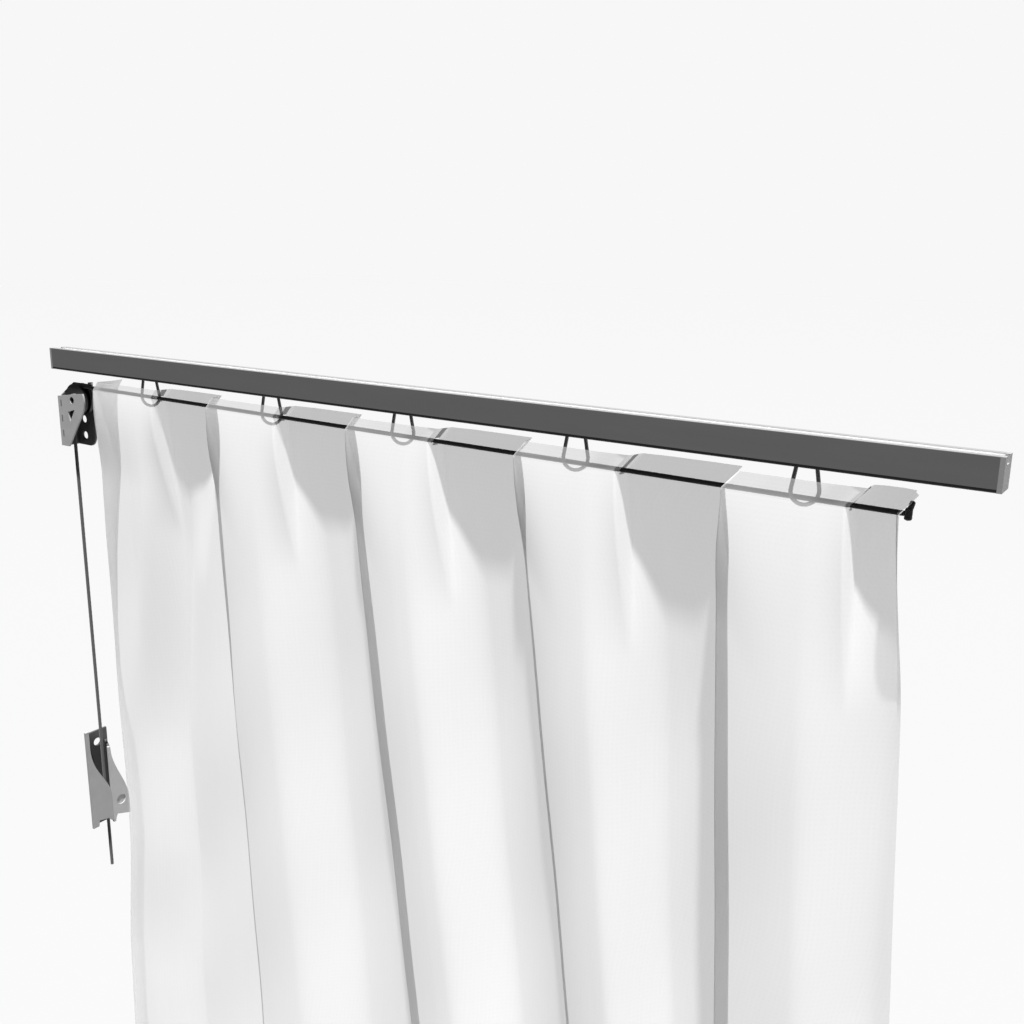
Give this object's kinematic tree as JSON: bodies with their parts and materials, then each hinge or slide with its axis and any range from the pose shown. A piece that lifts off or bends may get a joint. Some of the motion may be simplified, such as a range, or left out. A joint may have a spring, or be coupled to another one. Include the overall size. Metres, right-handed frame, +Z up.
{
  "type": "corded curtain track",
  "caption": "Ceiling curtain rail with roller runners on wire loops, a draw cord woven through a sheer curtain, an end pulley block and a jam cleat.",
  "frame": {"origin": "middle of the rail's length and depth, in the plane of the rail's top face", "axes": "+X along the rail away from the pulley block, +Y from the room side to the back, +Z up"},
  "size_m": [1.0788, 0.057, 1],
  "materials": {
    "rail_finish": "dark grey anodised, satin",
    "liner_black": "matt black",
    "cap_grey": "moulded grey",
    "runner_white": "moulded white",
    "loop_wire": "drawn wire, satin",
    "axle_steel": "turned steel",
    "roller_nylon": "moulded nylon",
    "plate_light": "light grey paint",
    "plate_dark": "dark grey paint",
    "sheave_black": "moulded black",
    "cleat_dark": "dark grey paint, satin",
    "cleat_grey": "grey paint, satin",
    "jaw_black": "moulded black",
    "cord_braid": "braided cord",
    "curtain_sheer": "plain sheer weave"
  },
  "bodies": {
    "track": {"rail": "rail_finish", "liner_front": "liner_black", "liner_back": "liner_black", "cap_left": "cap_grey", "cap_right": "cap_grey", "block_back": "plate_dark", "block_front": "plate_light", "block_pin": "axle_steel", "block_washers": "axle_steel", "block_eyelet": "axle_steel", "cleat_body": "cleat_dark", "cleat_cheek": "cleat_grey", "cleat_jaws": "jaw_black", "cleat_wing": "cleat_grey", "cord_run": "cord_braid", "cord_drop": "cord_braid", "curtain": "curtain_sheer"},
    "runner_1": {"runner_1": "runner_white", "loop_1": "loop_wire"},
    "runner_2": {"runner_2": "runner_white", "loop_2": "loop_wire"},
    "runner_3": {"runner_3": "runner_white", "loop_3": "loop_wire"},
    "runner_4": {"runner_4": "runner_white", "loop_4": "loop_wire"},
    "runner_5": {"runner_5": "runner_white", "loop_5": "loop_wire"},
    "rollers_1": {"axle_1": "axle_steel", "rollers_1": "roller_nylon"},
    "rollers_2": {"axle_2": "axle_steel", "rollers_2": "roller_nylon"},
    "rollers_3": {"axle_3": "axle_steel", "rollers_3": "roller_nylon"},
    "rollers_4": {"axle_4": "axle_steel", "rollers_4": "roller_nylon"},
    "rollers_5": {"axle_5": "axle_steel", "rollers_5": "roller_nylon"},
    "sheave": {"sheave": "sheave_black"},
    "knot": {"end_knot": "cord_braid"},
    "cord_end": {"cord_tail": "cord_braid"}
  },
  "joints": [
    {"name": "curtain_draw", "type": "slide", "parent": "track", "child": "runner_5", "axis": [-1, 0, 0], "range_m": [0, 0.56], "deforming": ["curtain", "cord_run"]},
    {"name": "runner_1_slide", "type": "slide", "parent": "track", "child": "runner_1", "axis": [-1, 0, 0], "range_m": [0, 0.0822]},
    {"name": "runner_2_slide", "type": "slide", "parent": "track", "child": "runner_2", "axis": [-1, 0, 0], "range_m": [0, 0.206]},
    {"name": "runner_3_slide", "type": "slide", "parent": "track", "child": "runner_3", "axis": [-1, 0, 0], "range_m": [0, 0.31]},
    {"name": "runner_4_slide", "type": "slide", "parent": "track", "child": "runner_4", "axis": [-1, 0, 0], "range_m": [0, 0.4297]},
    {"name": "rollers_1_turn", "type": "hinge", "parent": "runner_1", "child": "rollers_1", "pos_m": [-0.366, 0, -0.01585], "axis": [0, -1, 0], "range_deg": [0, 942]},
    {"name": "rollers_2_turn", "type": "hinge", "parent": "runner_2", "child": "rollers_2", "pos_m": [-0.169, 0, -0.01585], "axis": [0, -1, 0], "range_deg": [0, 2361]},
    {"name": "rollers_3_turn", "type": "hinge", "parent": "runner_3", "child": "rollers_3", "pos_m": [0.009, 0, -0.01585], "axis": [0, -1, 0], "range_deg": [0, 3553]},
    {"name": "rollers_4_turn", "type": "hinge", "parent": "runner_4", "child": "rollers_4", "pos_m": [0.201, 0, -0.01585], "axis": [0, -1, 0], "range_deg": [0, 4924]},
    {"name": "rollers_5_turn", "type": "hinge", "parent": "runner_5", "child": "rollers_5", "pos_m": [0.402, 0, -0.01585], "axis": [0, -1, 0], "range_deg": [0, 6418]},
    {"name": "sheave_turn", "type": "hinge", "parent": "track", "child": "sheave", "pos_m": [-0.503, 0, -0.0605], "axis": [0, -1, 0], "range_deg": [0, 2084]},
    {"name": "knot_slide", "type": "slide", "parent": "track", "child": "knot", "axis": [-1, 0, 0], "range_m": [0, 0.6]},
    {"name": "cord_pull", "type": "slide", "parent": "track", "child": "cord_end", "axis": [0, 0, -1], "range_m": [0, 0.6]}
  ],
  "couplings": [
    {"joint": "runner_1_slide", "follows": "curtain_draw", "ratio": 0.14678},
    {"joint": "runner_2_slide", "follows": "curtain_draw", "ratio": 0.36785},
    {"joint": "runner_3_slide", "follows": "curtain_draw", "ratio": 0.55357},
    {"joint": "runner_4_slide", "follows": "curtain_draw", "ratio": 0.76732},
    {"joint": "rollers_1_turn", "follows": "curtain_draw", "rad_per_m": 29.357},
    {"joint": "rollers_2_turn", "follows": "curtain_draw", "rad_per_m": 73.571},
    {"joint": "rollers_3_turn", "follows": "curtain_draw", "rad_per_m": 110.71},
    {"joint": "rollers_4_turn", "follows": "curtain_draw", "rad_per_m": 153.46},
    {"joint": "rollers_5_turn", "follows": "curtain_draw", "rad_per_m": 200},
    {"joint": "sheave_turn", "follows": "curtain_draw", "rad_per_m": 64.935},
    {"joint": "knot_slide", "follows": "curtain_draw", "ratio": 1.0714},
    {"joint": "cord_pull", "follows": "curtain_draw", "ratio": 1.0714}
  ]
}
